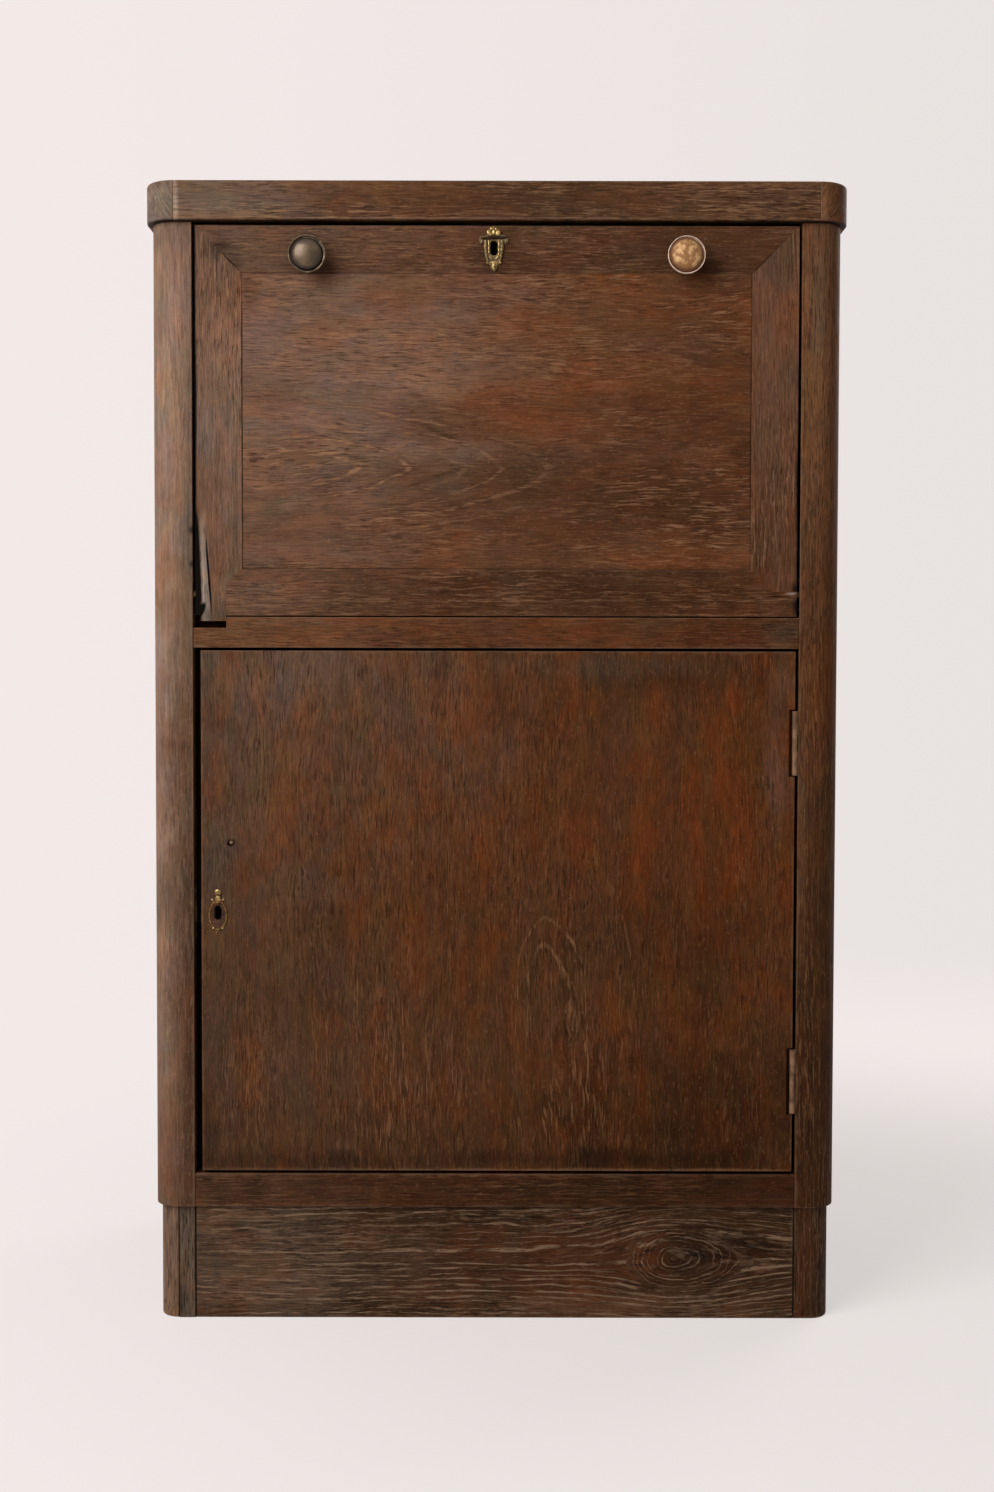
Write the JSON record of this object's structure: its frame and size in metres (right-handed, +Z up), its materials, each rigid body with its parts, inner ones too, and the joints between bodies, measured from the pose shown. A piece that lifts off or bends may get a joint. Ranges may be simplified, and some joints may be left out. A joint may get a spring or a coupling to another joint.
{
  "type": "cocktail cabinet",
  "caption": "Tall dark oak cocktail cabinet with rounded front corners, a pivoted drop flap with brass pulls above a hinged door, fitted shelves and a plain plinth.",
  "frame": {"origin": "on the floor, under the middle of the outline", "axes": "+Z up, the front with the flap and door faces -Y, +X to the right of someone facing the front"},
  "size_m": [0.707, 0.41, 1.15],
  "materials": {
    "oak_exterior": "dark stained oak, waxed, worn",
    "oak_interior": "oak, thinly stained",
    "back_ply": "plywood, unfinished",
    "brass_aged": "tarnished brass",
    "knob_bronze": "dark bronzed brass",
    "knob_worn_brass": "worn bright brass",
    "lock_steel": "dull steel"
  },
  "bodies": {
    "carcass": {"back_panel": "back_ply", "bottom_board": "oak_interior", "bottom_rail": "oak_exterior", "door_stop": "oak_interior", "door_strike": "lock_steel", "flap_stop": "oak_interior", "flap_strike": "lock_steel", "floor_batten": "oak_interior", "floor_board": "oak_interior", "front_post_left": "oak_exterior", "front_post_right": "oak_exterior", "hinge_lower_pin": "lock_steel", "hinge_lower_post_leaf": "brass_aged", "hinge_upper_pin": "lock_steel", "hinge_upper_post_leaf": "brass_aged", "lower_shelf": "oak_interior", "lower_shelf_bearer_left": "oak_interior", "lower_shelf_bearer_right": "oak_interior", "middle_rail": "oak_exterior", "pivot_plate_left": "brass_aged", "pivot_plate_right": "brass_aged", "plinth_back": "oak_exterior", "plinth_corner_left": "oak_exterior", "plinth_corner_right": "oak_exterior", "plinth_filler_left": "oak_exterior", "plinth_front": "oak_exterior", "plinth_side_left": "oak_exterior", "plinth_side_right": "oak_exterior", "side_left": "oak_exterior", "side_right": "oak_exterior", "top_core": "oak_exterior", "top_corner_left": "oak_exterior", "top_corner_right": "oak_exterior", "top_front_lipping": "oak_exterior", "top_side_lipping_left": "oak_exterior", "top_side_lipping_right": "oak_exterior", "upper_shelf": "oak_interior", "upper_shelf_bearer_left": "oak_interior", "upper_shelf_bearer_right": "oak_interior"},
    "flap": {"flap_band_bottom": "oak_exterior", "flap_band_left": "oak_exterior", "flap_band_right": "oak_exterior", "flap_band_top": "oak_exterior", "flap_escutcheon": "brass_aged", "flap_lock_case": "lock_steel", "flap_panel": "oak_exterior", "knob_bolt_left": "lock_steel", "knob_bolt_right": "lock_steel", "knob_left": "knob_bronze", "knob_right": "knob_worn_brass", "pivot_strap_left": "brass_aged", "pivot_strap_right": "brass_aged"},
    "door": {"door_board": "oak_exterior", "door_escutcheon": "brass_aged", "door_lock_case": "lock_steel", "hinge_lower_door_leaf": "brass_aged", "hinge_upper_door_leaf": "brass_aged"},
    "flap_bolt": {"flap_lock_bolt": "lock_steel"},
    "door_bolt": {"door_lock_bolt": "lock_steel"}
  },
  "joints": [
    {"name": "flap_drop", "type": "hinge", "parent": "carcass", "child": "flap", "pos_m": [0, -0.172, 0.7394], "axis": [1, 0, 0], "range_deg": [0, 90]},
    {"name": "door_swing", "type": "hinge", "parent": "carcass", "child": "door", "pos_m": [0.302, -0.179, 0.4177], "axis": [0, 0, 1], "range_deg": [0, 150]},
    {"name": "flap_bolt_slide", "type": "slide", "parent": "flap", "child": "flap_bolt", "axis": [0, 0, 1], "range_m": [0, 0.009]},
    {"name": "door_bolt_slide", "type": "slide", "parent": "door", "child": "door_bolt", "axis": [-1, 0, 0], "range_m": [0, 0.012]}
  ]
}
